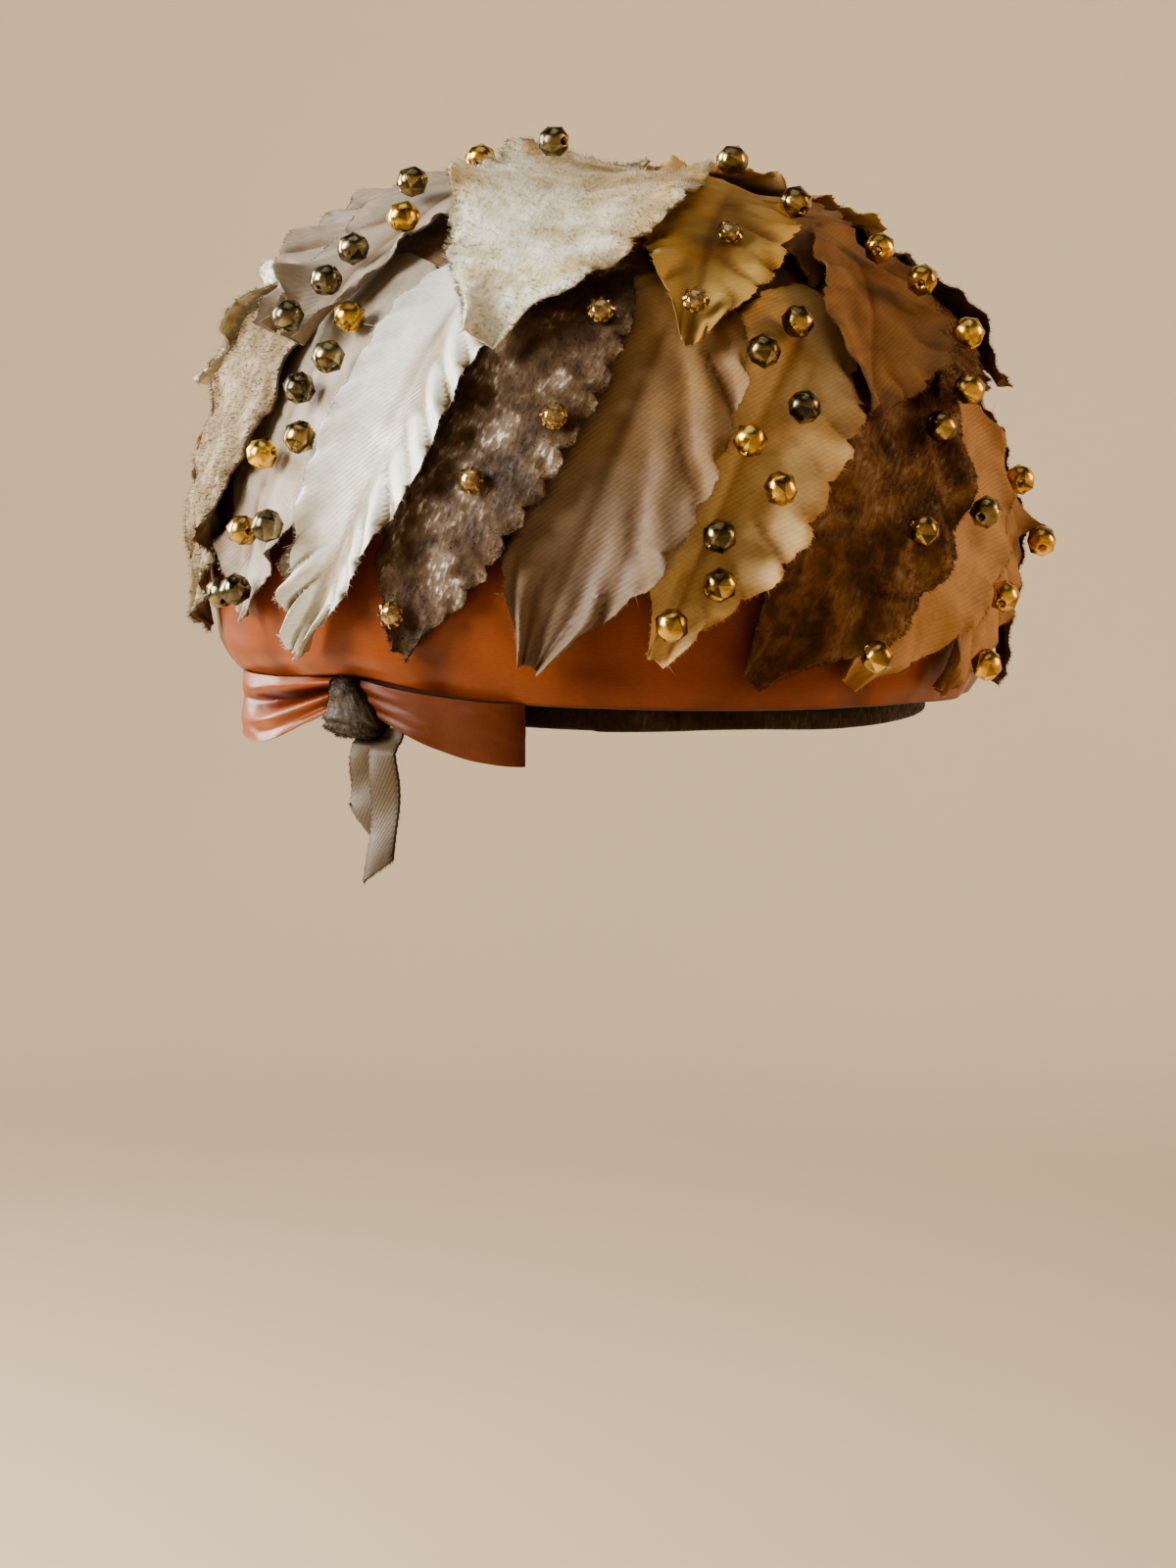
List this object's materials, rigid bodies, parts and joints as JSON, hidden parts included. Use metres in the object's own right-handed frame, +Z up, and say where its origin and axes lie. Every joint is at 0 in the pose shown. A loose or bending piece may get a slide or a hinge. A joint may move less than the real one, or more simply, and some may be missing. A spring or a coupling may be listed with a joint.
{
  "type": "pillbox hat",
  "caption": "Domed pillbox hat shingled with satin and velvet leaves, with sewn beads, a copper satin band, a velvet headband and a small side bow.",
  "frame": {"origin": "middle of the head opening, in the plane of the headband's lower edge", "axes": "+Z up out of the crown, -Y towards the front of the hat, +X towards the viewer's right"},
  "size_m": [0.2263, 0.2511, 0.184],
  "materials": {
    "crown_cloth": "stiff brown millinery cloth, matt",
    "copper_satin": "copper duchess satin, soft sheen",
    "olive_velvet": "dark olive-brown velvet",
    "ribbon_velvet": "taupe-brown velvet ribbon with a sateen back",
    "tan_velvet": "tan crushed velvet",
    "ivory_velvet": "ivory panne velvet, crushed",
    "taupe_velvet": "taupe-brown crushed velvet",
    "russet_velvet": "reddish-brown crushed velvet",
    "ivory_satin": "ivory satin, pressed pleats",
    "blush_satin": "pinkish-beige matt satin",
    "mauve_satin": "taupe-mauve satin",
    "olive_satin": "pale olive satin",
    "khaki_satin": "khaki satin",
    "brown_satin": "matt brown satin",
    "bead_metal": "faceted beads, gold and gunmetal lustre",
    "topaz_stone": "topaz glass stone in a brass claw cup"
  },
  "bodies": {
    "root": {"beads_front": "bead_metal", "beads_high_left": "bead_metal", "beads_high_right": "bead_metal", "beads_low_left": "bead_metal", "beads_low_right": "bead_metal", "beads_right_side": "bead_metal", "beads_top_right": "bead_metal", "bow_knot": "olive_velvet", "bow_wing_left": "copper_satin", "bow_wing_right": "copper_satin", "crown": "crown_cloth", "headband": "olive_velvet", "leaf_high_01": "brown_satin", "leaf_high_02": "russet_velvet", "leaf_high_03": "brown_satin", "leaf_high_04": "khaki_satin", "leaf_high_05": "taupe_velvet", "leaf_high_06": "russet_velvet", "leaf_high_07": "tan_velvet", "leaf_high_08": "olive_satin", "leaf_high_09": "mauve_satin", "leaf_high_10": "brown_satin", "leaf_high_11": "blush_satin", "leaf_high_12": "ivory_velvet", "leaf_high_13": "blush_satin", "leaf_high_14": "blush_satin", "leaf_high_15": "ivory_velvet", "leaf_low_01": "brown_satin", "leaf_low_02": "olive_satin", "leaf_low_03": "taupe_velvet", "leaf_low_04": "mauve_satin", "leaf_low_05": "khaki_satin", "leaf_low_06": "russet_velvet", "leaf_low_07": "brown_satin", "leaf_low_08": "brown_satin", "leaf_low_09": "russet_velvet", "leaf_low_10": "khaki_satin", "leaf_low_11": "mauve_satin", "leaf_low_12": "taupe_velvet", "leaf_low_13": "blush_satin", "leaf_low_14": "blush_satin", "leaf_low_15": "ivory_satin", "leaf_low_16": "tan_velvet", "leaf_low_17": "mauve_satin", "leaf_low_18": "olive_satin", "leaf_low_19": "taupe_velvet", "leaf_low_20": "ivory_satin", "leaf_top_01": "taupe_velvet", "leaf_top_02": "khaki_satin", "leaf_top_03": "tan_velvet", "satin_band": "copper_satin", "stone_1": "topaz_stone", "stone_2": "topaz_stone", "stone_3": "topaz_stone", "stone_4": "topaz_stone", "stone_5": "topaz_stone", "stone_6": "topaz_stone", "tail_back": "ribbon_velvet", "tail_front": "ribbon_velvet"}
  },
  "joints": []
}
